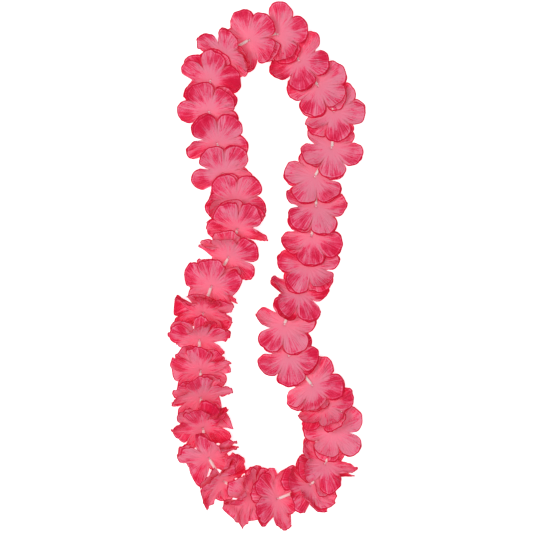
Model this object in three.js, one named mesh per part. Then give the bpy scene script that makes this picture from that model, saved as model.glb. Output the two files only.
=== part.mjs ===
// A flower lei: cloth blooms and short plastic spacers strung on one closed thread,
// lying on a table in a long, slightly crooked loop.
// Millimetres, +Z up. The table is z = 0 and the origin is under the middle of the loop's box.
// The lei's front runs counter-clockwise: every bloom faces the next one and leans up towards +Z,
// so its back petals are raised over the bloom behind it and its front petals reach the table.
import * as THREE from 'three';
import { mergeVertices } from 'three/addons/utils/BufferGeometryUtils.js';

// Driving dimensions of one bloom
const bloomRadius = 29; // middle of the hole to the tip of a petal
const notchRadius = 10.5; // where neighbouring petals part
const shoulderRadius = 19; // where a petal's side turns into its round tip
const tipSquareness = 2.2; // 2 would make the tip an ellipse
const holeRadius = 1.15;
const clothThickness = 0.8; // two plies and the air between them
const petalCount = 5;
const petalHalfAngle = THREE.MathUtils.degToRad(180 / petalCount);
const petalNarrowing = 0.07; // share of its sector that a petal gives up to the gap beside it

// How the petals are shaped out of the bloom's plane
const archHeight = 1.2; // a petal's sides lie this much lower than its middle
const ruffleHeight = 1.1; // waves along a petal's tip

// Thread and spacers
const threadRadius = 0.45;
const spacerRadius = 1.3;
const tubeSides = 6;
const seatGap = 0.35; // between a spacer's end and the cloth that it butts against
const seatReach = 1.0; // how far along the thread a spacer's end stands off the hole
const knotRadius = 1.1;
// The knot, behind the first bloom: how far back along the thread, and how thick
const knotProfile = [
  { back: 5.7, radius: spacerRadius },
  { back: 5.7, radius: threadRadius },
  { back: 3.9, radius: threadRadius },
  { back: 3.1, radius: knotRadius },
  { back: 2.1, radius: knotRadius },
  { back: 1.3, radius: threadRadius },
];

// How the lei rests
const pressedShare = 0.8; // height of a bloom's middle, as a share of its lowest petals' full drop
const tableBlend = 1.8; // over this height a petal turns to lie along the table
const boxShift = new THREE.Vector2(-1.03, -0.63); // brings the middle of the loop's box to the origin

// Each bloom in turn, counter-clockwise from the lower right of the loop:
// x, y of its middle, lean of its face away from straight up, aim (how far the lean turns left of
// the thread) and turn of its petals about its own middle. Millimetres and degrees.
// Petals 0 to 4 follow each other to the left, petal 0 nearest the front. Each has its bend towards
// the bloom's face and its twist about its own axis.
const blooms = [
  { x: 38.7, y: -192.4, lean: 46, aim: 1, turn: -9,
    bends: [8, 20, 42, 75, 50], twists: [0, 19, -21, -26, 11] },
  { x: 51.9, y: -174, lean: 40, aim: -8, turn: 6,
    bends: [19, 52, 45, 0, 29], twists: [-9, 14, -54, 59, -40] },
  { x: 59.6, y: -145.5, lean: 22, aim: -11, turn: 25,
    bends: [8, 17, 42, -20, 29], twists: [0, 13, 4, -18, 28] },
  { x: 51.7, y: -122.2, lean: 41, aim: 7, turn: -40,
    bends: [8, 8, 64, 44, 24], twists: [0, 9, 12, -10, 0] },
  { x: 40.8, y: -105.3, lean: 34, aim: 3, turn: 10,
    bends: [8, -21, 47, -22, 14], twists: [2, 19, 7, 11, 6] },
  { x: 20.2, y: -79.4, lean: 25, aim: -7, turn: 26,
    bends: [8, 27, -8, 35, 16], twists: [8, 5, -2, 11, 24] },
  { x: 16.4, y: -51.8, lean: 22, aim: 7, turn: -3,
    bends: [1, 53, -4, -25, 35], twists: [-3, 30, -2, 5, 19] },
  { x: 28.6, y: -23.5, lean: 34, aim: -4, turn: 18,
    bends: [11, 31, 19, -25, 54], twists: [-5, 38, -42, -5, -20] },
  { x: 37.5, y: 0.7, lean: 24, aim: -3, turn: 20,
    bends: [7, -12, -11, 57, 24], twists: [0, 6, -20, -8, -6] },
  { x: 40.3, y: 26.4, lean: 18, aim: 8, turn: -41,
    bends: [-22, 15, 27, 10, -20], twists: [-14, 6, 26, -6, 14] },
  { x: 44, y: 52.8, lean: 28, aim: -7, turn: -5,
    bends: [9, 6, -11, -14, 38], twists: [-1, 19, -18, 2, -3] },
  { x: 43.2, y: 78.9, lean: 19, aim: -3, turn: 22,
    bends: [9, -10, 2, 37, 21], twists: [-10, 4, 11, 12, -22] },
  { x: 57.9, y: 104.3, lean: 18, aim: 0, turn: -18,
    bends: [-25, 29, 23, -23, 14], twists: [21, 14, 15, 2, 2] },
  { x: 59.9, y: 136.8, lean: 19, aim: -1, turn: -36,
    bends: [18, 8, 4, -5, 3], twists: [3, 0, 36, 14, -9] },
  { x: 46, y: 159, lean: 20, aim: -4, turn: -9,
    bends: [7, 10, -25, 28, -5], twists: [1, 3, -13, 6, 14] },
  { x: 29.2, y: 181.2, lean: 25, aim: 9, turn: -1,
    bends: [8, 59, -9, -25, 21], twists: [0, 10, -6, 13, -16] },
  { x: 10.4, y: 204.6, lean: 23, aim: 14, turn: -19,
    bends: [16, 5, 50, 4, 27], twists: [12, 5, -13, 7, 0] },
  { x: -14.7, y: 199, lean: 34, aim: 3, turn: -19,
    bends: [10, 42, 24, -20, -22], twists: [9, 7, -20, 6, 9] },
  { x: -36.3, y: 184.6, lean: 49, aim: 13, turn: -25,
    bends: [8, 10, 64, 1, 15], twists: [-1, 38, 12, -18, -2] },
  { x: -49.2, y: 163.6, lean: 29, aim: 1, turn: -30,
    bends: [46, 7, 30, -25, -25], twists: [-13, 16, -19, -16, -25] },
  { x: -50.4, y: 136.1, lean: 24, aim: -15, turn: -6,
    bends: [-20, 13, 43, 18, -23], twists: [10, -2, -16, 12, -12] },
  { x: -43, y: 107.9, lean: 32, aim: 4, turn: -16,
    bends: [-22, 8, -24, -25, 9], twists: [3, -8, -10, 16, -25] },
  { x: -38.2, y: 81.1, lean: 26, aim: 14, turn: -35,
    bends: [13, -2, -15, 6, -25], twists: [-25, 26, -3, 3, -19] },
  { x: -26.3, y: 55.8, lean: 22, aim: 13, turn: -29,
    bends: [8, 23, 13, -25, 54], twists: [0, -30, -1, -9, -25] },
  { x: -25.3, y: 32.8, lean: 43, aim: -1, turn: 4,
    bends: [3, 10, -25, -22, -17], twists: [1, 36, -27, 17, -5] },
  { x: -33, y: 8, lean: 42, aim: 2, turn: -9,
    bends: [8, 14, -19, 57, -25], twists: [0, 1, -8, 2, -40] },
  { x: -47.7, y: -17.7, lean: 43, aim: -8, turn: -9,
    bends: [29, -7, -25, -4, -25], twists: [0, 31, -55, 19, 15] },
  { x: -55.2, y: -41, lean: 53, aim: -1, turn: 29,
    bends: [11, 31, 30, 10, 31], twists: [7, 16, 6, -36, -23] },
  { x: -58.4, y: -64.2, lean: 58, aim: 1, turn: -36,
    bends: [-25, 22, -25, 27, -15], twists: [11, 17, 6, 28, 9] },
  { x: -57.4, y: -91.7, lean: 45, aim: 0, turn: 37,
    bends: [1, -9, -16, -25, 27], twists: [-3, 30, -11, -14, -16] },
  { x: -57.2, y: -115.1, lean: 55, aim: 8, turn: -40,
    bends: [28, 50, 10, -16, 48], twists: [-19, -59, 6, 8, -8] },
  { x: -55.5, y: -142.1, lean: 49, aim: 6, turn: 42,
    bends: [55, -24, 2, -10, 10], twists: [11, 60, -13, -19, -27] },
  { x: -50, y: -168, lean: 52, aim: -3, turn: -50,
    bends: [53, -12, 3, 1, -19], twists: [60, 9, 38, -48, -3] },
  { x: -37.5, y: -188.2, lean: 62, aim: 6, turn: -13,
    bends: [11, -13, 59, 5, 17], twists: [-22, -18, 46, -18, -14] },
  { x: -12.6, y: -202.4, lean: 49, aim: -4, turn: -87,
    bends: [21, 19, -13, 12, 9], twists: [-22, -28, -6, 21, -57] },
  { x: 9.6, y: -204.3, lean: 49, aim: 2, turn: -20,
    bends: [-2, 47, -17, -11, 27], twists: [4, 24, -3, -11, -10] },
];

// A repeatable draw between -1 and 1 for petal k of bloom i
function draw(i, k, channel) {
  const wave = Math.sin(12.9898 * (i + 1) + 78.233 * (k + 1) + 37.719 * channel) * 43758.5453;
  return 2 * (wave - Math.floor(wave)) - 1;
}

// 0 below 0, 1 above 1, a smooth step between
function smooth(u) {
  const v = THREE.MathUtils.clamp(u, 0, 1);
  return v * v * (3 - 2 * v);
}

// Radius of a petal's outline at the side position a, from -1 to 1
function tipRadius(a) {
  const round = Math.sqrt(Math.max(0, 1 - Math.abs(a) ** tipSquareness));
  return shoulderRadius + (bloomRadius - shoulderRadius) * round;
}

// The middle, face direction and petal shapes of every bloom
function layBlooms() {
  const laid = blooms.map((bloom, i) => {
    const lean = THREE.MathUtils.degToRad(bloom.lean);
    const drop = bloomRadius * Math.sin(lean);
    const height = pressedShare * drop + clothThickness / 2;
    const middle = new THREE.Vector3(bloom.x + boxShift.x, bloom.y + boxShift.y, height);
    return { i, lean, middle, turn: THREE.MathUtils.degToRad(bloom.turn) };
  });
  for (const bloom of laid) {
    const after = laid[(bloom.i + 1) % laid.length];
    const before = laid[(bloom.i + laid.length - 1) % laid.length];
    bloom.along = after.middle.clone().sub(before.middle).normalize();
    const heading = Math.atan2(bloom.along.y, bloom.along.x);
    const azimuth = heading + THREE.MathUtils.degToRad(blooms[bloom.i].aim);
    const ahead = new THREE.Vector3(Math.cos(azimuth), Math.sin(azimuth), 0);
    const up = new THREE.Vector3(0, 0, 1);
    bloom.left = new THREE.Vector3().crossVectors(up, ahead);
    bloom.face = up.multiplyScalar(Math.cos(bloom.lean)).addScaledVector(ahead, Math.sin(bloom.lean));
    bloom.down = new THREE.Vector3().crossVectors(bloom.left, bloom.face);
    const { bends, twists } = blooms[bloom.i];
    bloom.petals = Array.from({ length: petalCount }, (_, k) => ({
      angle: bloom.turn + 2 * k * petalHalfAngle,
      bend: THREE.MathUtils.degToRad(bends[k]),
      twist: THREE.MathUtils.degToRad(twists[k]),
      phase: draw(bloom.i, k, 3),
    }));
  }
  return laid;
}

// Height above the table, eased so that what would reach below it lies along it
function easeOntoTable(z) {
  const above = z - clothThickness / 2;
  if (above > tableBlend) return z;
  if (above < -tableBlend) return clothThickness / 2;
  return clothThickness / 2 + (above + tableBlend) ** 2 / (4 * tableBlend);
}

// A point of the cloth's middle surface, from the bloom's middle. Petal k, a across it from -1 to 1.
// s runs from -1 at the hole's edge, through 0 where the petals part, to 1 at the radius tip.
// The petal bends along a circular arc past its root, twists about its own axis, arches across
// and waves along its tip.
function clothPoint(bloom, k, a, s, tip = tipRadius(a)) {
  const petal = bloom.petals[k];
  const out = Math.max(s, 0);
  const radius = s < 0
    ? notchRadius + (notchRadius - holeRadius) * s
    : notchRadius + (tip - notchRadius) * s;
  const narrowing = petalNarrowing * smooth((radius - notchRadius) / (shoulderRadius - notchRadius));
  const offAxis = petalHalfAngle * a * (1 - narrowing);
  const past = Math.max(radius - notchRadius, 0);
  const curvature = petal.bend / (bloomRadius - notchRadius);
  const bent = curvature * past;
  const straight = Math.abs(bent) < 1e-6;
  const reach = straight ? past : Math.sin(bent) / curvature;
  const rise = straight ? 0 : (1 - Math.cos(bent)) / curvature;
  const radial = radius - past + reach;
  const twist = petal.twist * smooth(out);
  const across = radial * Math.sin(offAxis);
  const wave = Math.cos(Math.PI * (2 * a + petal.phase)) * ruffleHeight * out * out;
  const lift = rise + across * Math.sin(twist) - archHeight * a * a * out + wave;
  const x = radial * Math.cos(offAxis);
  const y = across * Math.cos(twist);
  const point = new THREE.Vector3()
    .addScaledVector(bloom.down, x * Math.cos(petal.angle) - y * Math.sin(petal.angle))
    .addScaledVector(bloom.left, x * Math.sin(petal.angle) + y * Math.cos(petal.angle))
    .addScaledVector(bloom.face, lift);
  point.z = easeOntoTable(point.z + bloom.middle.z) - bloom.middle.z;
  return point;
}

// The cloth's own normal there, from two short steps on the surface, one out along the petal and one
// across it at the same radius
function clothNormal(bloom, k, a, s) {
  const step = 0.02;
  const tip = tipRadius(a);
  const inner = Math.max(s - step, -1);
  const outer = Math.min(s + step, 1);
  const left = Math.max(a - step, -1);
  const right = Math.min(a + step, 1);
  const outward = clothPoint(bloom, k, a, outer, tip).sub(clothPoint(bloom, k, a, inner, tip));
  const sideways = clothPoint(bloom, k, right, s, tip).sub(clothPoint(bloom, k, left, s, tip));
  return outward.cross(sideways).normalize();
}

// One bloom: five petals round a hole, the same triangles on its front and its back, and a rim.
// Each row of points has its own number of steps across the petal, most of them at the tip.
const rows = [
  { s: -1, steps: 2 },
  { s: 0, steps: 2 },
  { s: 0.5, steps: 4 },
  { s: 0.85, steps: 4 },
  { s: 1, steps: 6 },
];

function bloomGeometry(bloom) {
  const front = [];
  const back = [];
  const index = [];
  const starts = []; // of each row of each petal
  for (let k = 0; k < petalCount; k++) {
    starts.push(rows.map((row) => {
      const start = front.length;
      for (let j = 0; j <= row.steps; j++) {
        const a = (2 * j) / row.steps - 1;
        const point = clothPoint(bloom, k, a, row.s);
        const half = clothNormal(bloom, k, a, row.s).multiplyScalar(clothThickness / 2);
        front.push(point.clone().add(half));
        back.push(point.sub(half));
      }
      return start;
    }));
  }
  // Neighbouring petals share their points at the notch and at the hole
  for (let k = 0; k < petalCount; k++) {
    for (let r = 0; r < 2; r++) {
      const mine = starts[k][r] + rows[r].steps;
      const theirs = starts[(k + 1) % petalCount][r];
      for (const side of [front, back]) {
        const shared = side[mine].clone().add(side[theirs]).multiplyScalar(0.5);
        side[mine].copy(shared);
        side[theirs].copy(shared);
      }
    }
  }
  const count = front.length;
  const triangle = (a, b, c) => index.push(a, b, c, count + a, count + c, count + b);
  const rim = (a, b) => index.push(a, count + a, count + b, a, count + b, b);
  for (const start of starts) {
    for (let r = 0; r + 1 < rows.length; r++) {
      // Between two rows the step goes forward on whichever row lags behind
      const inner = rows[r].steps;
      const outer = rows[r + 1].steps;
      let i = 0;
      let o = 0;
      while (i < inner || o < outer) {
        if (o < outer && (i === inner || (o + 0.5) * inner <= (i + 0.5) * outer)) {
          triangle(start[r] + i, start[r + 1] + o, start[r + 1] + o + 1);
          o += 1;
        } else {
          triangle(start[r] + i, start[r + 1] + o, start[r] + i + 1);
          i += 1;
        }
      }
      if (r > 0) {
        rim(start[r], start[r + 1]);
        rim(start[r + 1] + outer, start[r] + inner);
      }
    }
    const last = rows.length - 1;
    for (let j = 0; j < rows[last].steps; j++) rim(start[last] + j, start[last] + j + 1);
    for (let j = 0; j < rows[0].steps; j++) rim(start[0] + j + 1, start[0] + j);
  }
  return weldedGeometry([...front, ...back], index);
}

function weldedGeometry(points, index) {
  const geometry = new THREE.BufferGeometry();
  geometry.setFromPoints(points);
  geometry.setIndex(index);
  const welded = mergeVertices(geometry, 1e-3);
  welded.computeVertexNormals();
  return welded;
}

// A ring of the sweep, square to its axis and level at its sides
function ring(points, middle, axis, radius) {
  const side = new THREE.Vector3(0, 0, 1).cross(axis).normalize();
  const top = new THREE.Vector3().crossVectors(axis, side).normalize();
  for (let j = 0; j < tubeSides; j++) {
    const angle = (2 * Math.PI * j) / tubeSides;
    points.push(middle.clone()
      .addScaledVector(side, radius * Math.cos(angle))
      .addScaledVector(top, radius * Math.sin(angle)));
  }
}

// The closed thread with its spacers. The spacer from one bloom to the next runs straight, from in
// front of the first one's face to behind the second one, and the thread climbs through each hole.
function threadGeometry(laid) {
  for (const bloom of laid) {
    const standOff = spacerRadius + clothThickness / 2 + seatGap;
    const gained = seatReach * bloom.along.dot(bloom.face);
    bloom.through = bloom.along.clone().multiplyScalar(seatReach)
      .addScaledVector(bloom.face, Math.max(0, standOff - gained));
    bloom.behind = bloom.middle.clone().sub(bloom.through);
    bloom.before = bloom.middle.clone().add(bloom.through);
  }
  const points = [];
  for (const bloom of laid) {
    const previous = laid[(bloom.i + laid.length - 1) % laid.length];
    const next = laid[(bloom.i + 1) % laid.length];
    const arriving = bloom.behind.clone().sub(previous.before).normalize();
    const leaving = next.behind.clone().sub(bloom.before).normalize();
    if (bloom.i === 0) {
      // The knot takes the place of this spacer's end
      for (const { back, radius } of knotProfile) {
        ring(points, bloom.behind.clone().addScaledVector(arriving, -back), arriving, radius);
      }
    } else {
      ring(points, bloom.behind, arriving, spacerRadius);
      ring(points, bloom.behind, arriving, threadRadius);
    }
    ring(points, bloom.middle, bloom.through.clone().normalize(), threadRadius);
    ring(points, bloom.before, leaving, threadRadius);
    ring(points, bloom.before, leaving, spacerRadius);
  }
  const rings = points.length / tubeSides;
  const index = [];
  for (let r = 0; r < rings; r++) {
    const here = r * tubeSides;
    const there = ((r + 1) % rings) * tubeSides;
    for (let j = 0; j < tubeSides; j++) {
      const after = (j + 1) % tubeSides;
      index.push(here + j, here + after, there + after);
      index.push(here + j, there + after, there + j);
    }
  }
  return weldedGeometry(points, index);
}

const petalCloth = new THREE.MeshStandardMaterial({
  name: 'petal_cloth', color: 0xe4476f, roughness: 0.85, metalness: 0, side: THREE.DoubleSide,
});
const spacerPlastic = new THREE.MeshStandardMaterial({
  name: 'spacer_plastic', color: 0xf4efec, roughness: 0.45, metalness: 0,
});

const lei = new THREE.Group();
const laidBlooms = layBlooms();
for (const bloom of laidBlooms) {
  const mesh = new THREE.Mesh(bloomGeometry(bloom), petalCloth.clone());
  mesh.name = `bloom_${String(bloom.i + 1).padStart(2, '0')}`;
  mesh.position.copy(bloom.middle);
  lei.add(mesh);
}
const thread = new THREE.Mesh(threadGeometry(laidBlooms), spacerPlastic);
thread.name = 'thread_with_spacers';
lei.add(thread);

export default lei;
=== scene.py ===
import bpy
import math
import numpy as np
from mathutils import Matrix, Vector


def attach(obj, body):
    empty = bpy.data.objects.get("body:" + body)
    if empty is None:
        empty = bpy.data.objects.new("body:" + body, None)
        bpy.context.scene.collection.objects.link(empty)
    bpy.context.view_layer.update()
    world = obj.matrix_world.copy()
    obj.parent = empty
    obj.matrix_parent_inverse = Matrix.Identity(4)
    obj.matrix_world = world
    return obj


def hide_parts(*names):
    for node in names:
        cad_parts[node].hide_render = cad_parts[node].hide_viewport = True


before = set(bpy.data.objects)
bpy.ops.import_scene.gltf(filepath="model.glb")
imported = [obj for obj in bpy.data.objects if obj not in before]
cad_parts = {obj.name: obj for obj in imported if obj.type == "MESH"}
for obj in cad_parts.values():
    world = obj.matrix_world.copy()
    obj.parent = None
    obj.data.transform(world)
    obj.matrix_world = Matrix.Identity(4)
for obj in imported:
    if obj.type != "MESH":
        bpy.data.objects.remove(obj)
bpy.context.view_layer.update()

# Visual model of a flower lei: two-ply blooms of dyed polyester cloth and milky plastic tubes on a thread,
# laid on a table. Metres; the tables below are in millimetres and degrees, and mm turns them into metres.
mm = 0.001


def hexColour(text):  # sRGB hex to linear RGBA, by the sRGB curve
    srgb = np.array([int(text[i:i + 2], 16) / 255 for i in (1, 3, 5)])
    linear = np.where(srgb <= 0.04045, srgb / 12.92, ((srgb + 0.055) / 1.055) ** 2.4)
    return (*linear.tolist(), 1.0)


def smooth(u):  # 3 u^2 - 2 u^3 between 0 and 1, level outside
    v = np.clip(u, 0, 1)
    return v * v * (3 - 2 * v)


def draw(i, k, channel):
    # A repeatable draw between -1 and 1 for petal k of bloom i: the far decimals of a sine. The channel is only
    # a number that keeps one kind of draw apart from the others.
    wave = np.sin(12.9898 * (i + 1) + 78.233 * (k + 1) + 37.719 * channel) * 43758.5453
    return 2 * (wave - np.floor(wave)) - 1


def unit(vectors):  # each vector divided by its length
    return vectors / np.linalg.norm(vectors, axis=-1, keepdims=True)


def makePiece(name, points, faces, material, nodes):
    # points (n, 3) in metres, faces as lists of corners, wound outwards
    mesh = bpy.data.meshes.new(name)
    mesh.from_pydata(points.tolist(), [], faces)
    mesh.update()
    mesh.polygons.foreach_set("use_smooth", np.full(len(mesh.polygons), True))
    piece = bpy.data.objects.new(name, mesh)
    bpy.context.scene.collection.objects.link(piece)
    mesh.materials.append(material)
    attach(piece, "root")
    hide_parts(*nodes)
    return piece


def addNode(tree, kind, inputs=None, **settings):
    # One node with its settings, values and links. A node as a value stands for its first output.
    node = tree.nodes.new(kind)
    for key, value in settings.items():
        setattr(node, key, value)
    for key, value in (inputs or {}).items():
        if isinstance(value, bpy.types.Node):
            value = value.outputs[0]
        if isinstance(value, bpy.types.NodeSocket):
            tree.links.new(value, node.inputs[key])
        else:
            node.inputs[key].default_value = value
    return node


def newMaterial(name):  # a material without nodes yet, and its node tree
    material = bpy.data.materials.new(name)
    material.use_nodes = True
    material.node_tree.nodes.clear()
    return material, material.node_tree


clothLook = {
    # share of the petal's length, and the colour there
    "dye": [(0.05, "#F295AE"), (0.30, "#F58FAB"), (0.48, "#F88FAC"), (0.62, "#F8799D"), (0.76, "#F45981"),
            (0.95, "#F14772"), (1.15, "#E92C5A"), (1.4, "#DC1243")],
    "glow": ("#FF1040", 0.1),  # a constant red glow of the cloth's own: painted light that fills the shade in the folds, standing in for the dye's fluorescence
    # how far each moves the colour along that row; the darkening along pressed lines is painted shade, the
    # paler side beside them a painted highlight
    "patches": 0.32, "petals": 0.3, "blooms": 0.2, "creases": 0.36, "crestHighlighting": 0.26, "ribs": 0.32,
    "mottle": 0.1,
    # waves of the noise behind creases, ribs and patches: along a petal, across it, from petal to petal
    "foldWaves": (1.5, 6.6, 7.0), "ribWaves": (1.8, 11.0, 11.0), "patchWaves": (1.9, 1.1, 5.0),
    "noiseRoughness": 0.55,
    # how far from its middle that noise is at a line's faint edge, in colour and in height
    "creaseWidth": 0.04, "ribWidth": 0.05, "reliefWidth": 0.12,
    # values of the noise where each starts and is full
    "crestBand": (0.54, 0.62), "patchBand": (0.32, 0.68), "mottleBand": (0.3, 0.7),
    # share of the petal's length where these start and are full; what lines and relief have before it
    "shiftsGrow": (0.05, 0.6), "linesGrow": (0.03, 0.42), "reliefGrows": (0.25, 0.6),
    "linesAtHole": 0.4, "reliefAtHole": 0.1,
    "rimDarkening": 0.14, "rimBand": 4.0,  # the airbrush's share at the cut edge, mm that it reaches in
    "hem": -0.45, "hemBand": (1.0, 1.5, 2.3),  # painted highlight: a paler band just inside the edge, where the embossed edge catches the light: mm where it starts, is full, ends
    "slit": -0.7, "slitBand": (0.7, 1.6),  # paler along the edges between two petals: mm of full, where it ends
    "slitEnds": (0.6, 0.8),  # share of the length over which the slit's edge turns into the petal's free edge
    "cutEdge": "#D8103F", "rimLine": (0.65, 1.1),  # mm of full colour, and where it has faded
    "rimInSlit": 0.1,  # its share in the slits
    "mottleWaves": 75.0, "patternUnit": 100.0,  # waves in one unit of the cut pattern's map, mm in that unit
    "weavePitch": 0.55,  # mm; the real threads are 0.2 mm apart, drawn coarser so that they show
    "creaseHeight": 0.22, "ribHeight": 0.08, "weaveHeight": 0.03,  # mm
    "weaveStrength": 0.35,
    "roughness": 0.72, "specular": 0.2, "sheen": ("#FFC9D6", 0.1, 0.45),  # tint, weight, roughness
    "letsThrough": 0.06,  # share of the light that goes through the cloth
}


def clothMaterial():
    # Woven polyester, airbrushed darker towards the petal tips and heat-pressed: the eye sees a matt, slightly
    # silky cloth with fine creases that fan out from the hole and a thin dark line along the cut edge.
    # Besides the dye, the colour holds painted light: shade along the pressed lines, a pale highlight beside
    # them and along the cut edge, and a constant red glow
    look = clothLook
    material, tree = newMaterial("airbrushedWovenPolyester")
    petal = addNode(tree, "ShaderNodeAttribute", attribute_name="petalMap").outputs["Vector"]
    part = addNode(tree, "ShaderNodeSeparateXYZ", {0: petal})
    length, number = part.outputs[0], part.outputs[2]  # share of the petal's length, the petal's number
    toEdge = addNode(tree, "ShaderNodeAttribute", attribute_name="toEdge").outputs["Fac"]  # mm
    cutPattern = addNode(tree, "ShaderNodeUVMap", uv_map="cutPattern")

    # Noise that is drawn out along the petal, and how far it is from its middle
    folds, ribs, patches = [addNode(tree, "ShaderNodeTexNoise", {
        "Vector": addNode(tree, "ShaderNodeMapping", {0: petal, "Scale": look[waves]}),
        "Scale": 1.0, "Detail": 1.0, "Roughness": look["noiseRoughness"]})
        for waves in ("foldWaves", "ribWaves", "patchWaves")]
    byFold, byRib = [addNode(tree, "ShaderNodeMath", {
        0: addNode(tree, "ShaderNodeMath", {0: noise, 1: 0.5}, operation="SUBTRACT")}, operation="ABSOLUTE")
        for noise in (folds, ribs)]

    # Soft steps: name, what is read, where it starts and ends, value before and after
    starts, full, ends = look["hemBand"]
    soft = {name: addNode(tree, "ShaderNodeMapRange", {0: value, 1: low, 2: high, 3: before, 4: after},
                          interpolation_type="SMOOTHSTEP") for name, value, low, high, before, after in (
        # The next three rows are painted shade and a painted highlight: darker along the pressed lines and
        # paler along one side of them, where the relief's shade and light would fall
        ("creaseShade", byFold, 0.0, look["creaseWidth"], look["creases"], 0.0),
        ("crestHighlight", folds, *look["crestBand"], 0.0, -look["crestHighlighting"]),  # paler, along one side of a crease
        ("ribShade", byRib, 0.0, look["ribWidth"], look["ribs"], 0.0),
        ("patch", patches, *look["patchBand"], -look["patches"], look["patches"]),
        ("rim", toEdge, 0.0, look["rimBand"], look["rimDarkening"], 0.0),
        ("hemStart", toEdge, starts, full, 0.0, look["hem"]),
        ("hemEnd", toEdge, full, ends, 1.0, 0.0),
        ("slitEdge", toEdge, *look["slitBand"], look["slit"], 0.0),
        ("besideSlit", length, *look["slitEnds"], 1.0, 0.0),
        ("rimLine", toEdge, *look["rimLine"], 1.0, 0.0),
        ("rimShare", length, *look["slitEnds"], look["rimInSlit"], 1.0),
        ("outward", length, *look["shiftsGrow"], 0.0, 1.0),
        ("lines", length, *look["linesGrow"], look["linesAtHole"], 1.0),
        ("relief", length, *look["reliefGrows"], look["reliefAtHole"], 1.0),
        ("foldHeight", byFold, 0.0, look["reliefWidth"], 0.0, 1.0),
        ("ribHeight", byRib, 0.0, look["reliefWidth"], 0.0, 1.0))}
    # The first of these is the painted highlight just inside the cut edge
    hem, slit, soaked = [addNode(tree, "ShaderNodeMath", {0: soft[one], 1: soft[other]}, operation="MULTIPLY")
                         for one, other in (("hemStart", "hemEnd"), ("slitEdge", "besideSlit"),
                                            ("rimLine", "rimShare"))]

    # Petals and whole blooms that took more dye than others, and a fine mottle
    bloom = addNode(tree, "ShaderNodeMath", {0: number, 1: 2.0 * bloomShape["petals"]}, operation="SNAP")
    own, batch = [addNode(tree, "ShaderNodeMapRange", {
        0: addNode(tree, "ShaderNodeTexWhiteNoise", {"W": which}, noise_dimensions="1D"),
        3: -look[share], 4: look[share]}) for which, share in ((number, "petals"), (bloom, "blooms"))]
    grain = addNode(tree, "ShaderNodeTexNoise", {"Vector": cutPattern, "Scale": look["mottleWaves"],
                                                 "Detail": 1.0})
    low, high = look["mottleBand"]
    mottle = addNode(tree, "ShaderNodeMapRange", {0: grain, 1: low, 2: high, 3: -look["mottle"],
                                                  4: look["mottle"]})

    # Place in the dye's row: share of the length + mottle + each shift times what it grows with. The shifts
    # along the pressed lines and the pale band by the edge are painted shade and highlight, not dye
    dyed = addNode(tree, "ShaderNodeMath", {0: length, 1: mottle}, operation="ADD")
    for shift, grows in ((soft["patch"], "outward"), (own, "outward"), (batch, "outward"),
                         (soft["rim"], "outward"), (hem, "outward"), (slit, "outward"),
                         (soft["creaseShade"], "lines"), (soft["crestHighlight"], "lines"), (soft["ribShade"], "lines")):
        dyed = addNode(tree, "ShaderNodeMath", {0: shift, 1: soft[grows], 2: dyed}, operation="MULTIPLY_ADD")
    longest = look["dye"][-1][0]
    ramp = addNode(tree, "ShaderNodeValToRGB", {0: addNode(tree, "ShaderNodeMapRange", {0: dyed, 2: longest})})
    ramp.color_ramp.elements[0].position = look["dye"][0][0] / longest
    for place, colour in look["dye"][1:-1]:
        ramp.color_ramp.elements.new(place / longest)
    for element, (place, colour) in zip(ramp.color_ramp.elements, look["dye"]):
        element.color = hexColour(colour)
    coloured = addNode(tree, "ShaderNodeMix", {0: soaked, 6: ramp, 7: hexColour(look["cutEdge"])},
                       data_type="RGBA").outputs[2]

    # Height: pressed creases and the plain weave, threads over and under each other
    pitch = math.pi * look["patternUnit"] / look["weavePitch"]
    threads = addNode(tree, "ShaderNodeMapping", {0: cutPattern, "Scale": (pitch, pitch, pitch)})
    way = addNode(tree, "ShaderNodeSeparateXYZ", {0: threads})
    warp, weft = [addNode(tree, "ShaderNodeMath", {0: way.outputs[n]}, operation="SINE") for n in (0, 1)]
    weave = addNode(tree, "ShaderNodeMath", {0: warp, 1: weft}, operation="MULTIPLY")
    pressed = addNode(tree, "ShaderNodeBump", {
        "Height": soft["foldHeight"], "Strength": soft["relief"], "Distance": look["creaseHeight"] * mm})
    ribbed = addNode(tree, "ShaderNodeBump", {
        "Height": soft["ribHeight"], "Strength": soft["relief"], "Distance": look["ribHeight"] * mm,
        "Normal": pressed})
    woven = addNode(tree, "ShaderNodeBump", {
        "Height": weave, "Strength": look["weaveStrength"], "Distance": look["weaveHeight"] * mm,
        "Normal": ribbed})

    # The cloth's constant red glow is painted light that lifts the shade in the folds
    glow, paintedGlowStrength = look["glow"]
    tint, sheen, sheenRoughness = look["sheen"]
    cloth = addNode(tree, "ShaderNodeBsdfPrincipled", {
        "Base Color": coloured, "Roughness": look["roughness"], "Normal": woven,
        "Specular IOR Level": look["specular"],
        "Sheen Weight": sheen, "Sheen Roughness": sheenRoughness, "Sheen Tint": hexColour(tint),
        "Emission Color": hexColour(glow), "Emission Strength": paintedGlowStrength})
    through = addNode(tree, "ShaderNodeBsdfTranslucent", {"Color": coloured, "Normal": woven})
    both = addNode(tree, "ShaderNodeMixShader", {0: look["letsThrough"], 1: cloth, 2: through})
    addNode(tree, "ShaderNodeOutputMaterial", {0: both})
    return material


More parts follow.
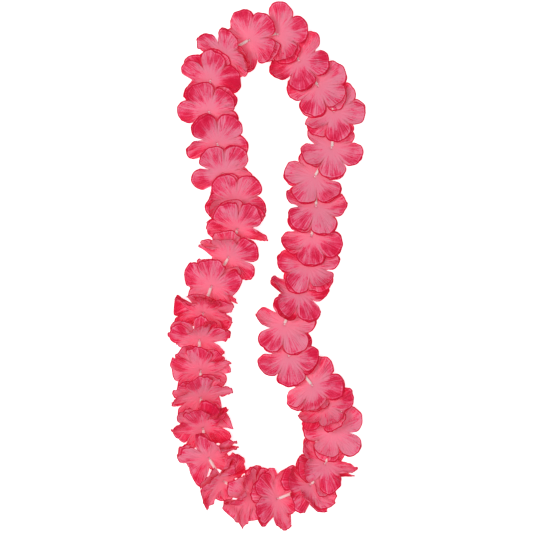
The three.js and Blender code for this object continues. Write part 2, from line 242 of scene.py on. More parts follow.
bloomShape = {
    "petals": 5,
    # the cut outline, mm from the middle: tip, foot of the slits, corner where the rounding starts, hole
    "radius": 29.0, "notch": 10.5, "shoulder": 19.0, "hole": 0.75, "tipSquareness": 2.0,
    "sizeStray": 0.8, "shorter": 0.4, "shoulderStray": 1.2,  # mm
    "narrowing": (0.0, 0.045),  # share of its sector that a petal leaves free: least, most
    "arch": 1.6, "ruffle": 1.1,  # mm that the sides hang lower, and of the wave at the tip
    # wavy outline, and small waves at the tip: mm, number of the two waves, share of the second
    "scallop": 0.38, "scallopWaves": (1.9, 3.9), "scallopSecond": 0.5,
    "frill": 0.55, "frillWaves": (4.3, 7.1), "frillSecond": 0.6,
    # pressed folds: how many, mm high, share of the height that is drawn
    "folds": 6, "fold": 0.6, "foldDrawn": 0.35,
    "foldFirst": -0.75, "foldStep": 0.3, "foldStray": 0.12, "foldWidth": 0.085,  # places across the petal
    "foldStarts": 4.0, "foldGrows": 9.0, "foldTipLoss": 0.4,  # mm from the middle, mm on, share lost at the tip
    "crinkle": (0.7, 1.2), "crinkleLean": (25, 50),  # share of frill and fold at the first lean, at the second
    "clothThickness": 0.22, "cadThickness": 0.8,  # mm
    "plyGap": 0.45, "plySpread": 1.4, "plyBlend": 2.0,  # mm between the plies at the hole, more at the tip
    "pressedShare": 0.8, "tableBlend": 1.8, "frontFloor": 0.5, "backFloor": 0.16,  # mm over the table
    "shift": (-1.03, -0.63),  # mm, puts the whole in the middle of its box
    "across": 31, "discRows": 5, "petalRows": 22, "sidePacking": 0.4, "tipPacking": 1.2,  # the grid
}

# x, y, lean of the face from straight up, aim (how far the lean turns left of the thread), turn of the petals,
# bends and twists of the front ply's five petals, turn of the back ply against the front one, its bends and
# twists. Counter-clockwise.
bloomRows = [
    (38.7, -192.4, 46, 1, -9, [8, 20, 42, 75, 50], [0, 19, -21, -26, 11],
     -11, [-2, -2, -24, -35, -11], [0, 16, -27, -20, -28]),
    (51.9, -174, 40, -8, 6, [19, 52, 45, 0, 29], [-9, 14, -54, 59, -40],
     -13, [-2, 2, 12, 24, 2], [-33, 43, -28, -60, -60]),
    (59.6, -145.5, 22, -11, 25, [8, 17, 42, -20, 29], [0, 13, 4, -18, 28],
     2, [-1, 13, -14, -2, -2], [1, 25, -15, -17, -17]),
    (51.7, -122.2, 41, 7, -40, [8, 8, 64, 44, 24], [0, 9, 12, -10, 0],
     3, [-2, -2, -34, -3, 31], [0, -2, 19, 13, -18]),
    (40.8, -105.3, 34, 3, 10, [8, -21, 47, -22, 14], [2, 19, 7, 11, 6],
     4, [-2, -7, 36, -35, -2], [36, 1, -36, 6, -16]),
    (20.2, -79.4, 25, -7, 26, [8, 27, -8, 35, 16], [8, 5, -2, 11, 24],
     -6, [-2, 15, -19, 33, -33], [0, -40, 12, -1, -58]),
    (16.4, -51.8, 22, 7, -3, [1, 53, -4, -25, 35], [-3, 30, -2, 5, 19],
     -2, [-2, -28, -34, -2, -6], [0, 59, 17, 24, -39]),
    (28.6, -23.5, 34, -4, 18, [11, 31, 19, -25, 54], [-5, 38, -42, -5, -20],
     4, [-1, 36, 1, 8, 44], [0, 47, 2, -25, -19]),
    (37.5, 0.7, 24, -3, 20, [7, -12, -11, 57, 24], [0, 6, -20, -8, -6],
     -4, [-2, 6, 8, -8, -2], [0, -37, -37, -2, -45]),
    (40.3, 26.4, 18, 8, -41, [-22, 15, 27, 10, -20], [-14, 6, 26, -6, 14],
     3, [0, -6, 37, -2, 27], [2, -41, -5, 0, 17]),
    (44, 52.8, 28, -7, -5, [9, 6, -11, -14, 38], [-1, 19, -18, 2, -3],
     3, [-2, -2, 3, -2, 29], [0, 48, 0, -11, 59]),
    (43.2, 78.9, 19, -3, 22, [9, -10, 2, 37, 21], [-10, 4, 11, 12, -22],
     3, [-3, 17, 42, 37, -2], [16, -28, -22, -4, -35]),
    (57.9, 104.3, 18, 0, -18, [-25, 29, 23, -23, 14], [21, 14, 15, 2, 2],
     0, [-6, 15, 18, 33, -8], [25, -48, 12, 29, -33]),
    (59.9, 136.8, 19, -1, -36, [18, 8, 4, -5, 3], [3, 0, 36, 14, -9],
     12, [-2, -2, 3, 38, 16], [0, 0, -27, -24, 4]),
    (46, 159, 20, -4, -9, [7, 10, -25, 28, -5], [1, 3, -13, 6, 14],
     -2, [-2, 3, -2, -35, -2], [1, 5, -2, 21, 29]),
    (29.2, 181.2, 25, 9, -1, [8, 59, -9, -25, 21], [0, 10, -6, 13, -16],
     -6, [-2, 38, -16, 39, -2], [0, 23, -24, 45, -60]),
    (10.4, 204.6, 23, 14, -19, [16, 5, 50, 4, 27], [12, 5, -13, 7, 0],
     1, [-3, -2, -10, -11, 21], [10, 1, -5, 5, 41]),
    (-14.7, 199, 34, 3, -19, [10, 42, 24, -20, -22], [9, 7, -20, 6, 9],
     -2, [-2, -2, -22, 43, 33], [-2, 29, -41, -33, -24]),
    (-36.3, 184.6, 49, 13, -25, [8, 10, 64, 1, 15], [-1, 38, 12, -18, -2],
     8, [-3, -35, 45, 41, -2], [0, 16, 11, 41, -15]),
    (-49.2, 163.6, 29, 1, -30, [46, 7, 30, -25, -25], [-13, 16, -19, -16, -25],
     -10, [11, -3, 23, 12, -17], [-55, 0, -5, 5, 23]),
    (-50.4, 136.1, 24, -15, -6, [-20, 13, 43, 18, -23], [10, -2, -16, 12, -12],
     1, [-2, 2, -13, 33, -14], [0, 11, 11, 2, -15]),
    (-43, 107.9, 32, 4, -16, [-22, 8, -24, -25, 9], [3, -8, -10, 16, -25],
     2, [-2, -11, -2, 1, -2], [0, 33, -30, 7, -47]),
    (-38.2, 81.1, 26, 14, -35, [13, -2, -15, 6, -25], [-25, 26, -3, 3, -19],
     2, [-3, 7, 0, 45, -30], [-35, -43, -4, 18, -29]),
    (-26.3, 55.8, 22, 13, -29, [8, 23, 13, -25, 54], [0, -30, -1, -9, -25],
     -7, [-3, 0, -35, -5, 3], [1, -25, 4, 2, -20]),
    (-25.3, 32.8, 43, -1, 4, [3, 10, -25, -22, -17], [1, 36, -27, 17, -5],
     -12, [-3, -1, -11, -4, -34], [0, 49, 37, 6, -46]),
    (-33, 8, 42, 2, -9, [8, 14, -19, 57, -25], [0, 1, -8, 2, -40],
     -4, [-3, -2, 17, -3, -19], [41, 22, -16, 10, -11]),
    (-47.7, -17.7, 43, -8, -9, [29, -7, -25, -4, -25], [0, 31, -55, 19, 15],
     14, [-2, -34, -2, -18, -19], [1, 38, 60, -2, 0]),
    (-55.2, -41, 53, -1, 29, [11, 31, 30, 10, 31], [7, 16, 6, -36, -23],
     24, [1, -35, 25, 45, 0], [1, 16, -9, -9, -1]),
    (-58.4, -64.2, 58, 1, -36, [-25, 22, -25, 27, -15], [11, 17, 6, 28, 9],
     -17, [-2, -2, 36, -34, -35], [0, 1, 28, -29, 4]),
    (-57.4, -91.7, 45, 0, 37, [1, -9, -16, -25, 27], [-3, 30, -11, -14, -16],
     32, [-35, 34, 20, -21, -2], [59, -25, 8, 5, 0]),
    (-57.2, -115.1, 55, 8, -40, [28, 50, 10, -16, 48], [-19, -59, 6, 8, -8],
     47, [-3, -4, -15, -11, -21], [-1, 8, 11, 5, -18]),
    (-55.5, -142.1, 49, 6, 42, [55, -24, 2, -10, 10], [11, 60, -13, -19, -27],
     33, [40, -31, 16, -30, -2], [60, -43, 59, 9, -2]),
    (-50, -168, 52, -3, -50, [53, -12, 3, 1, -19], [60, 9, 38, -48, -3],
     11, [-29, 0, -15, 37, -19], [29, 58, 15, -60, 43]),
    (-37.5, -188.2, 62, 6, -13, [11, -13, 59, 5, 17], [-22, -18, 46, -18, -14],
     -8, [2, -2, 36, 9, 44], [-16, 0, 14, 21, 23]),
    (-12.6, -202.4, 49, -4, -87, [21, 19, -13, 12, 9], [-22, -28, -6, 21, -57],
     37, [7, -2, -35, -35, 45], [1, 0, -8, -18, 6]),
    (9.6, -204.3, 49, 2, -20, [-2, 47, -17, -11, 27], [4, 24, -3, -11, -10],
     20, [-2, -35, -28, -5, -2], [0, 14, -25, -35, -3]),
]


def layBlooms():
    # Middle: x, y and the height at which the petals that point down are pressed a little onto the table. The
    # face leans by lean towards the thread's heading; down is the way in the bloom's plane towards the next
    # bloom, left is across it.
    shape = bloomShape
    x, y, lean, aim, turn = np.array([row[:5] for row in bloomRows], float).T
    lean, aim, turn = np.radians(lean), np.radians(aim), np.radians(turn)
    height = shape["pressedShare"] * shape["radius"] * np.sin(lean) + shape["cadThickness"] / 2
    middle = np.stack([x + shape["shift"][0], y + shape["shift"][1], height], -1)
    along = unit(np.roll(middle, -1, 0) - np.roll(middle, 1, 0))
    azimuth = np.arctan2(along[:, 1], along[:, 0]) + aim
    ahead = np.stack([np.cos(azimuth), np.sin(azimuth), 0 * azimuth], -1)
    left = np.stack([-np.sin(azimuth), np.cos(azimuth), 0 * azimuth], -1)
    face = np.array([0, 0, 1]) * np.cos(lean)[:, None] + ahead * np.sin(lean)[:, None]
    return {"middle": middle, "along": along, "left": left, "face": face, "down": np.cross(left, face),
            "turn": turn}


def petalSettings(i, ply):
    # Bend, twist and phase of the ruffle of the five petals, and how crinkled the bloom is, from its row
    row = bloomRows[i]
    bends, twists = row[5:7] if ply == 0 else row[8:]
    phase = draw(i, np.arange(bloomShape["petals"]), 3 + 10 * ply)
    crinkle = np.interp(row[2], bloomShape["crinkleLean"], bloomShape["crinkle"])  # by the bloom's lean
    return np.radians(bends)[:, None, None], np.radians(twists)[:, None, None], phase[:, None, None], crinkle


def tipRadius(a, i, k, ply):
    # shoulder + (size - shoulder) * (1 - |a|^squareness)^(1/2), and a shallow scallop of two waves
    shape = bloomShape
    rounded = np.sqrt(np.maximum(0, 1 - np.abs(a) ** shape["tipSquareness"]))
    size = shape["radius"] + shape["sizeStray"] * draw(i, k, 21 + ply) - shape["shorter"]
    wide, close = shape["scallopWaves"]
    scallop = (np.cos(math.pi * (wide * a + draw(i, k, 31 + ply)))
               + shape["scallopSecond"] * np.cos(math.pi * (close * a + draw(i, k, 41 + ply))))
    shoulder = shape["shoulder"] + shape["shoulderStray"] * draw(i, k, 25 + ply)
    return shoulder + (size - shoulder) * rounded + shape["scallop"] * scallop * rounded


def edgeDistance(points, outline):
    # shortest way from each point of a flat petal to the straight pieces of its cut outline
    start, step = outline[:, None, :-1, :], np.diff(outline, axis=1)[:, None, :, :]
    away = points.reshape(len(points), -1, 1, 2) - start
    share = np.clip(np.sum(away * step, -1) / np.sum(step * step, -1), 0, 1)
    return np.linalg.norm(away - share[..., None] * step, axis=-1).min(-1).reshape(points.shape[:3])


def pressedFolds(a, i, k, ply, radius, out):
    # Folds that fan out from the hole, up and down in turn: each is height * exp(-((a - place) / width)^2), and
    # all fade towards the hole, the tip and the petal's sides
    shape = bloomShape
    fold = 0
    for n in range(shape["folds"]):
        place = shape["foldFirst"] + shape["foldStep"] * n + shape["foldStray"] * draw(i, k, 81 + n + 10 * ply)
        drawn = shape["foldDrawn"] * draw(i, k, 101 + n + 10 * ply)
        height = shape["fold"] * (1 - shape["foldDrawn"] + drawn) * (-1) ** n
        fold = fold + height * np.exp(-((a - place) / shape["foldWidth"]) ** 2)
    fromHole = smooth((radius - shape["foldStarts"]) / shape["foldGrows"])
    return fold * fromHole * (1 - shape["foldTipLoss"] * out) * (1 - a ** 6)


def turnedBy(x, y, angle):  # x cos - y sin, x sin + y cos
    return x * np.cos(angle) - y * np.sin(angle), x * np.sin(angle) + y * np.cos(angle)


def plySurface(i, ply, turn):
    # A petal is a function of a, -1 to 1 across it, and s, -1 at the hole, 0 at the notch and 1 at the tip.
    # radius = notch + (tip - notch) * s; past the notch the petal follows a circular arc of the bend's angle,
    # turns about its own axis by the twist, its sides lie arch * a^2 lower, and its tip waves.
    shape = bloomShape
    k = np.arange(shape["petals"])[:, None, None]
    even = np.linspace(-1, 1, shape["across"])
    packing = shape["sidePacking"]
    a = ((1 - packing) * even + packing * np.sin(math.pi / 2 * even))[None, None, :]
    outer = np.linspace(0, 1, shape["petalRows"])
    inner = np.linspace(-1, 0, shape["discRows"], endpoint=False)
    s = np.concatenate([inner, 1 - (1 - outer) ** shape["tipPacking"]])[None, :, None]
    out = np.maximum(s, 0)
    bend, twist, phase, crinkle = petalSettings(i, ply)
    notch, hole, halfAngle = shape["notch"], shape["hole"], math.pi / shape["petals"]
    tip = tipRadius(a, i, k, ply)
    radius = np.where(s < 0, notch + (notch - hole) * s, notch + (tip - notch) * s)
    least, most = shape["narrowing"]
    narrow = least + (most - least) * (0.5 + 0.5 * draw(i, k, 51 + ply)) ** 2
    narrowing = narrow * smooth((radius - notch) / (shape["shoulder"] - notch))
    offAxis = halfAngle * a * (1 - narrowing)

    past = np.maximum(radius - notch, 0)
    curvature = bend / (shape["radius"] - notch)
    curvature = np.where(np.abs(curvature) < 1e-6, 1e-6, curvature)  # a straight petal is a very wide arc
    reach = np.sin(curvature * past) / curvature
    rise = (1 - np.cos(curvature * past)) / curvature
    radial = radius - past + reach
    turned = twist * smooth(out)
    sideways = radial * np.sin(offAxis)
    wave = np.cos(math.pi * (2 * a + phase)) * shape["ruffle"] * out ** 2
    wide, close = shape["frillWaves"]
    frill = shape["frill"] * out ** 4 * (
        np.cos(math.pi * (wide * a + draw(i, k, 61 + ply)))
        + shape["frillSecond"] * np.cos(math.pi * (close * a + draw(i, k, 71 + ply))))
    fold = pressedFolds(a, i, k, ply, radius, out)
    arch = shape["arch"] * a ** 2 * smooth(out)
    lift = rise + sideways * np.sin(turned) - arch + wave + crinkle * (frill + fold)

    angle = turn + 2 * halfAngle * k
    x, y = turnedBy(radial * np.cos(offAxis), sideways * np.cos(turned), angle)
    cut = np.stack([radius * np.cos(offAxis), radius * np.sin(offAxis)], -1)
    first = shape["discRows"]
    outline = np.concatenate([cut[:, first:, 0], cut[:, -1, 1:], cut[:, first:-1, -1][:, ::-1]], 1)
    whole = np.ones_like(lift)
    number = k + shape["petals"] * (ply + 2 * i)
    return {"inPlane": np.stack([x, y, lift], -1),
            "cutPattern": np.stack(turnedBy(cut[..., 0], cut[..., 1], angle), -1),
            "petalMap": np.stack([radius / shape["radius"] * whole, a * whole, number * whole], -1),
            "toEdge": edgeDistance(cut, outline)}


envelopeGrid = {"angles": 120, "rings": 16, "ringWidth": 2.0, "spread": 3, "smoothed": 2, "empty": 99.0}  # mm


def lowerEnvelope(front):
    # Lowest lift of the front ply by angle and radius, spread to both sides and smoothed: the back ply stays
    # under it
    grid = envelopeGrid
    angles, rings, empty = grid["angles"], grid["rings"], grid["empty"]
    x, y, lift = front.reshape(-1, 3).T
    column = np.rint(np.arctan2(y, x) / math.tau * angles).astype(int) % angles
    ring = np.clip(np.rint(np.hypot(x, y) / grid["ringWidth"]).astype(int), 0, rings - 1)
    field = np.full((angles, rings), empty)
    np.minimum.at(field, (column, ring), lift)
    spread, smoothed = grid["spread"], grid["smoothed"]
    field = np.min([np.roll(field, n, 0) for n in range(-spread, spread + 1)], axis=0)
    for n in range(1, rings):  # past the petals' ends it carries on level
        field[:, n] = np.where(field[:, n] == empty, field[:, n - 1], field[:, n])
    field = np.mean([np.roll(field, n, 0) for n in range(-smoothed, smoothed + 1)], axis=0)
    padded = np.pad(field, ((0, 0), (1, 1)), mode="edge")
    return (padded[:, :-2] + 2 * padded[:, 1:-1] + padded[:, 2:]) / 4


def readEnvelope(field, x, y):  # bilinear: the four values around the point, each by the share of its nearness
    angles, rings = field.shape
    column = (np.arctan2(y, x) / math.tau * angles) % angles
    ring = np.clip(np.hypot(x, y) / envelopeGrid["ringWidth"], 0, rings - 1.001)  # so that a next ring is there
    c, r = np.floor(column).astype(int), np.floor(ring).astype(int)
    u, v = column - c, ring - r
    c, after = c % angles, (c + 1) % angles
    return ((1 - u) * (1 - v) * field[c, r] + u * (1 - v) * field[after, r]
            + (1 - u) * v * field[c, r + 1] + u * v * field[after, r + 1])


def easeOntoTable(z, floor):
    # What would reach below floor lies along it. Within blend of the floor the turn is the parabola
    # floor + (z - floor + blend)^2 / (4 blend).
    blend = bloomShape["tableBlend"]
    above = z - floor
    turned = floor + (above + blend) ** 2 / (4 * blend)
    return np.where(above > blend, z, np.where(above < -blend, floor, turned))


def plyFaces(rows, columns, joinedRows):
    # Corner numbers of one ply's faces, as laid out and with the shared edges of neighbouring petals made one
    petals = bloomShape["petals"]
    index = np.arange(petals * rows * columns).reshape(petals, rows, columns)
    joined = index.copy()
    joined[:, :joinedRows, -1] = np.roll(index[:, :joinedRows, 0], -1, 0)
    both = []
    for grid in (index, joined):
        corners = [grid[:, :-1, :-1], grid[:, 1:, :-1], grid[:, 1:, 1:], grid[:, :-1, 1:]]
        both.append(np.stack(corners, -1).reshape(-1, 4))
    return both


def buildBloom(i, laid, material):
    # The back ply's lift is the soft minimum of its own and the front's lower envelope less the gap; the front
    # ply is raised by half the gap. Point = middle + x * down + y * left + lift * face, eased onto the table.
    shape = bloomShape
    turn = laid["turn"][i]
    front = plySurface(i, 0, turn)
    back = plySurface(i, 1, turn + math.radians(bloomRows[i][7]))
    field = lowerEnvelope(front["inPlane"])
    x, y, own = np.moveaxis(back["inPlane"], -1, 0)
    share = np.clip(np.hypot(x, y) / shape["radius"], 0, 1)
    under = readEnvelope(field, x, y) - shape["plyGap"] - shape["plySpread"] * share ** 2
    blend = shape["plyBlend"]
    back["inPlane"][..., 2] = -np.logaddexp(-blend * own, -blend * under) / blend
    front["inPlane"][..., 2] += shape["plyGap"] / 2
    rows = shape["discRows"] + shape["petalRows"]
    laidOut, joined = plyFaces(rows, shape["across"], shape["discRows"] + 1)
    points = []
    for ply, floor in ((front, shape["frontFloor"]), (back, shape["backFloor"])):
        x, y, lift = np.split(ply["inPlane"].reshape(-1, 3), 3, axis=1)
        world = x * laid["down"][i] + y * laid["left"][i] + lift * laid["face"][i]
        world = world + laid["middle"][i]
        world[:, 2] = easeOntoTable(world[:, 2], floor)
        points.append(world * mm)
    count = len(points[0])
    source = np.concatenate([laidOut, laidOut + count]).ravel()
    used, faces = np.unique(np.concatenate([joined, joined + count]), return_inverse=True)
    piece = makePiece(f"bloom{i + 1:02d}Plies", np.concatenate(points)[used], faces.reshape(-1, 4).tolist(),
                      material, [f"bloom_{i + 1:02d}"])
    mesh = piece.data
    petalMap, toEdge, pattern = [
        np.concatenate([ply[name].reshape(count, -1) for ply in (front, back)])[source].ravel()
        for name in ("petalMap", "toEdge", "cutPattern")]
    mesh.attributes.new("petalMap", "FLOAT_VECTOR", "CORNER").data.foreach_set("vector", petalMap)
    mesh.attributes.new("toEdge", "FLOAT", "CORNER").data.foreach_set("value", toEdge)
    mesh.uv_layers.new(name="cutPattern").data.foreach_set("uv", pattern / clothLook["patternUnit"])
    solid = piece.modifiers.new("cloth", "SOLIDIFY")
    solid.thickness = shape["clothThickness"] * mm
    solid.offset = 0


tubeShape = {
    "outer": 1.3, "inner": 0.85, "round": 0.15,  # mm: radii of the wall, and of its rounded ends
    "roundMiddle": 0.3,  # where the rounding's middle point lies, as a share of it
    "seatGap": 0.35, "seatReach": 1.0,  # mm between tube and cloth, mm from the bloom's middle
    "knotBack": 5.7,  # mm that the last tube gives up to the knot
    "sides": 20,
}
tubeLook = {
    "tones": ("#FFDFDB", "#FFF3F0"), "cloudWaves": 180.0,  # waves in a metre
    "gloss": (0.28, 0.42), "ior": 1.51, "letsThrough": 0.08,
}


def spacerMaterial():
    # Drawn polyethylene tube, cut by the metre: milky, it lets light and the cloth's pink through and shines
    # softly
    look = tubeLook
    material, tree = newMaterial("milkyPolyethyleneTube")
    place = addNode(tree, "ShaderNodeTexCoord").outputs["Object"]
    cloud = addNode(tree, "ShaderNodeTexNoise", {"Vector": place, "Scale": look["cloudWaves"], "Detail": 2.0})
    duller, clearer = look["tones"]
    tone = addNode(tree, "ShaderNodeMix", {0: cloud, 6: hexColour(duller), 7: hexColour(clearer)},
                   data_type="RGBA").outputs[2]
    low, high = look["gloss"]
    rough = addNode(tree, "ShaderNodeMapRange", {0: cloud, 3: low, 4: high})
    tube = addNode(tree, "ShaderNodeBsdfPrincipled", {
        "Base Color": tone, "Roughness": rough, "IOR": look["ior"], "Transmission Weight": look["letsThrough"]})
    addNode(tree, "ShaderNodeOutputMaterial", {0: tube})
    return material


threadShape = {
    "radius": 0.28, "sides": 8, "step": 0.5, "rounding": 2,  # mm, and how often the corners are averaged
    # the knot: stage, mm back from the first bloom's seat, mm from the thread, degrees round it
    "knot": [(0, 8.6, 2.3, -70), (2, 4.4, 1.5, -60), (3, 3.4, 0.6, 0), (6, 1.8, 0.6, 1080), (7, 2.4, 1.3, 1200),
             (9, 7.4, 2.4, 1215)],
    "knotPoints": 160, "knotRounding": 6,
}
threadLook = {
    "tones": ("#D9D0CB", "#F6F2EE"), "groove": (-1.0, 0.2),  # painted shade, darker in the groove between the strands: bottom, where it ends
    "strands": 2.0, "ridge": 0.08, "ridgeStrength": 0.6,  # number, mm that a strand stands up
    "roughness": 0.85, "sheen": 0.2,
}


def threadMaterial():
    # Twisted cotton sewing thread, matt and a little fuzzy: two strands go once round each other in 2 mm
    look = threadLook
    material, tree = newMaterial("twistedCottonThread")
    along = addNode(tree, "ShaderNodeUVMap", uv_map="wound")  # u turns round the thread, v is mm along it
    part = addNode(tree, "ShaderNodeSeparateXYZ", {0: along})
    lay = addNode(tree, "ShaderNodeMath", {0: part.outputs[0], 1: look["strands"], 2: part.outputs[1]},
                  operation="MULTIPLY_ADD")
    phase = addNode(tree, "ShaderNodeMath", {0: lay, 1: math.tau}, operation="MULTIPLY")
    strand = addNode(tree, "ShaderNodeMath", {0: phase}, operation="SINE")
    bottom, crown = look["groove"]
    shade = addNode(tree, "ShaderNodeMapRange", {0: strand, 1: bottom, 2: crown})
    # painted shade: the darker tone lies in the groove between the strands
    dark, light = look["tones"]
    tone = addNode(tree, "ShaderNodeMix", {0: shade, 6: hexColour(dark), 7: hexColour(light)},
                   data_type="RGBA").outputs[2]
    ridge = addNode(tree, "ShaderNodeBump", {
        "Height": strand, "Strength": look["ridgeStrength"], "Distance": look["ridge"] * mm})
    cotton = addNode(tree, "ShaderNodeBsdfPrincipled", {
        "Base Color": tone, "Roughness": look["roughness"], "Normal": ridge, "Sheen Weight": look["sheen"]})
    addNode(tree, "ShaderNodeOutputMaterial", {0: cotton})
    return material


def seats(laid):
    # Where the spacers end: a short way along the thread before and behind each bloom, and out along its face
    # by what is still missing to clear the cloth
    shape, tube = bloomShape, tubeShape
    standOff = tube["outer"] + shape["cadThickness"] / 2 + tube["seatGap"]
    gained = tube["seatReach"] * np.sum(laid["along"] * laid["face"], -1, keepdims=True)
    through = laid["along"] * tube["seatReach"] + laid["face"] * np.maximum(0, standOff - gained)
    return laid["middle"] - through, laid["middle"] + through


def frames(tangents, reference=(0, 0, 1.0)):  # two directions square to each tangent and to each other
    side = unit(np.cross(reference, tangents))
    return side, np.cross(tangents, side)


def rings(side, top, sides):  # side * cos(turn) + top * sin(turn), for each of the tube's sides
    turn = np.linspace(0, math.tau, sides, endpoint=False)[:, None]
    return side[:, None, :] * np.cos(turn) + top[:, None, :] * np.sin(turn)


def buildSpacers(laid, material):
    # Each tube is a closed profile, outer wall, rounded end, inner wall, carried round the line between two
    # seats: point = start + axis * t + radius * ring
    tube = tubeShape
    behind, start = seats(laid)
    end = np.roll(behind, -1, 0)
    axis = unit(end - start)
    end[-1] -= axis[-1] * tube["knotBack"]  # the knot takes the place of this one's end
    length = np.linalg.norm(end - start, axis=-1)
    side, top = frames(axis)
    ro, ri, c = tube["outer"], tube["inner"], tube["round"]
    m = tube["roundMiddle"] * c
    radius = np.array([ro - c, ro - m, ro, ro, ro, ro - m, ro - c, ri + c, ri, ri, ri, ri + c])
    fromStart = np.array([0, m, c, 0, 0, 0, 0, 0, 0, 0, c, 0])
    share = np.array([0, 0, 0, 0.5, 1, 1, 1, 1, 1, 0.5, 0, 0])
    fromEnd = np.array([0, 0, 0, 0, c, m, 0, 0, c, 0, 0, 0])
    t = fromStart + share * length[:, None] - fromEnd
    ring = rings(side, top, tube["sides"])
    points = (start[:, None, None, :] + axis[:, None, None, :] * t[:, :, None, None]
              + radius[None, :, None, None] * ring[:, None, :, :])
    index = np.arange(points.size // 3).reshape(points.shape[:3])
    nextStep, nextSide = np.roll(index, -1, 1), np.roll(index, -1, 2)
    faces = np.stack([index, nextSide, np.roll(nextStep, -1, 2), nextStep], -1).reshape(-1, 4)
    makePiece("spacerTubes", points.reshape(-1, 3) * mm, faces.tolist(), material, ["thread_with_spacers"])


def sweepTube(path, radius, sides, closed, reference):
    # point = path + radius * ring, the ring square to the path's own direction. The UV of each corner is the
    # share of a turn round the tube and the millimetres travelled along it. An open tube gets two end faces.
    if closed:
        tangents = unit(np.roll(path, -1, 0) - np.roll(path, 1, 0))
    else:
        tangents = unit(np.gradient(path, axis=0))
    side, top = frames(tangents, reference)
    points = (path[:, None, :] + radius * rings(side, top, sides)).reshape(-1, 3)
    index = np.arange(len(points)).reshape(-1, sides)
    if closed:
        path, index, ends = np.vstack([path, path[:1]]), np.vstack([index, index[:1]]), []
    else:
        ends = [index[0][::-1], index[-1]]
    after = np.roll(index, -1, 1)
    quads = np.stack([index[:-1], after[:-1], after[1:], index[1:]], -1).reshape(-1, 4)
    travelled = np.concatenate([[0], np.cumsum(np.linalg.norm(np.diff(path, axis=0), axis=1))])
    step, place = np.meshgrid(np.arange(len(path) - 1), np.arange(sides), indexing="ij")
    turned = (place[..., None] + np.array([0, 1, 1, 0])) / sides
    along = travelled[step[..., None] + np.array([0, 0, 1, 1])]
    wound = np.vstack([np.stack([turned, along], -1).reshape(-1, 2), np.zeros((sides * len(ends), 2))])
    return points, quads, ends, wound


def threadPath(laid):
    # The thread runs from seat to seat and climbs through each hole; corners are rounded by averaging
    behind, before = seats(laid)
    stations = np.stack([behind, laid["middle"], before], 1).reshape(-1, 3)
    loop = np.vstack([stations, stations[:1]])
    travelled = np.concatenate([[0], np.cumsum(np.linalg.norm(np.diff(loop, axis=0), axis=1))])
    at = np.linspace(0, travelled[-1], int(travelled[-1] / threadShape["step"]), endpoint=False)
    path = np.stack([np.interp(at, travelled, loop[:, c]) for c in range(3)], -1)
    for n in range(threadShape["rounding"]):
        path = (np.roll(path, 1, 0) + 2 * path + np.roll(path, -1, 0)) / 4
    return path, travelled[-1]


def knotPath(laid):
    # One end's tail, three turns round the thread, the other end's tail: a spiral about the thread,
    # point = seat - axis * back + away * (side * cos(angle) + top * sin(angle)), read from the knot's table
    thread = threadShape
    behind, before = seats(laid)
    axis = unit(behind[:1] - before[-1:])
    side, top = frames(axis)
    stage, back, away, angle = np.array(thread["knot"], float).T
    at = np.linspace(0, stage[-1], thread["knotPoints"])
    back, away, angle = (np.interp(at, stage, values)[:, None] for values in (back, away, np.radians(angle)))
    path = behind[:1] - axis * back + away * (side * np.cos(angle) + top * np.sin(angle))
    for n in range(thread["knotRounding"]):
        path[1:-1] = (path[:-2] + 2 * path[1:-1] + path[2:]) / 4
    return path, axis


def buildThread(laid, material):
    # The closed loop and the open knot are two tubes in one mesh; returns the loop's length in mm
    radius, sides = threadShape["radius"], threadShape["sides"]
    loop, length = threadPath(laid)
    knot, axis = knotPath(laid)
    points, quads, ends, wound = sweepTube(loop, radius, sides, True, (0, 0, 1.0))
    knotPoints, knotQuads, knotEnds, knotWound = sweepTube(knot, radius, sides, False, axis)
    faces = np.vstack([quads, knotQuads + len(points)]).tolist()
    faces += [(end + len(points)).tolist() for end in knotEnds]
    piece = makePiece("threadLoop", np.vstack([points, knotPoints]) * mm, faces, material,
                      ["thread_with_spacers"])
    piece.data.uv_layers.new(name="wound").data.foreach_set("uv", np.vstack([wound, knotWound]).ravel())
    return length


print("blooms")
laid = layBlooms()
cloth = clothMaterial()
for i in range(len(bloomRows)):
    buildBloom(i, laid, cloth)

print("spacers")
buildSpacers(laid, spacerMaterial())

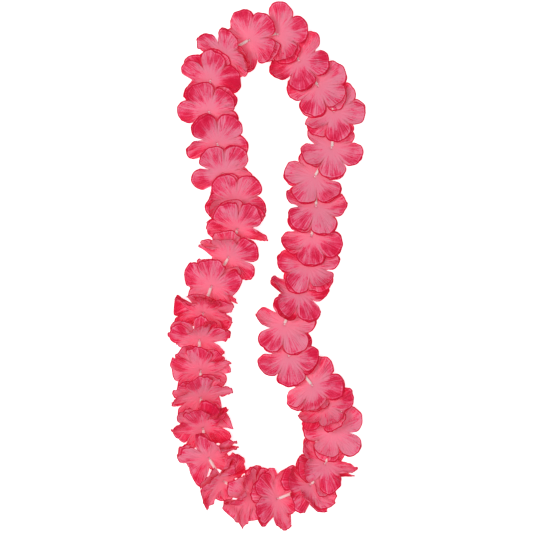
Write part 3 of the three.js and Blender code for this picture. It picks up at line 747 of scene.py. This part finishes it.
print("thread length", round(buildThread(laid, threadMaterial())), "mm")

print("studio")
studio = {
    "floor": "#FFFFFF", "floorSize": 8, "floorRoughness": 0.9,  # metres
    "glow": 0.68, "world": 0.32,  # light from the floor itself and from all round
    "lens": 120.0, "pixel": 0.88, "frame": 533,  # mm, mm of table in a pixel of the photo, pixels
    "middle": (-0.59, -1.07, 15.0),  # mm, what the camera looks at
    # place in metres, size in metres, watts
    "lamps": {"key": ((-0.55, 0.1, 2.1), 0.5, 16.5), "fill": ((0.35, -0.55, 2.1), 1.2, 10)},
}
bpy.ops.mesh.primitive_plane_add(size=studio["floorSize"])
floor = bpy.context.object
floor.name = "floor"
# Matt white paper, lit from below as well, so that no grey shows beside the blooms
paper, tree = newMaterial("whitePaper")
matt = addNode(tree, "ShaderNodeBsdfPrincipled", {
    "Base Color": hexColour(studio["floor"]), "Roughness": studio["floorRoughness"], "Specular IOR Level": 0.0,
    "Emission Color": hexColour(studio["floor"]), "Emission Strength": studio["glow"]})
addNode(tree, "ShaderNodeOutputMaterial", {0: matt})
floor.data.materials.append(paper)

# Straight above, as far up as makes the photo's frame wide enough
camera = bpy.data.cameras.new("camera")
camera.lens = studio["lens"]
away = studio["frame"] * studio["pixel"] * mm * camera.lens / camera.sensor_width
seen = bpy.data.objects.new("camera", camera)
seen.location = Vector(studio["middle"]) * mm + Vector((0, 0, away))
bpy.context.scene.collection.objects.link(seen)
bpy.context.scene.camera = seen

for name, (place, size, power) in studio["lamps"].items():
    lamp = bpy.data.lights.new(name, "AREA")
    lamp.size = size
    lamp.energy = power
    light = bpy.data.objects.new(name, lamp)
    light.location = place
    light.rotation_euler = (-Vector(place)).to_track_quat("-Z", "Y").to_euler()
    bpy.context.scene.collection.objects.link(light)

world = bpy.data.worlds.new("studio")
world.use_nodes = True
background = world.node_tree.nodes["Background"]
background.inputs[0].default_value = (1, 1, 1, 1)
background.inputs[1].default_value = studio["world"]
bpy.context.scene.world = world
bpy.context.scene.view_settings.view_transform = "Standard"
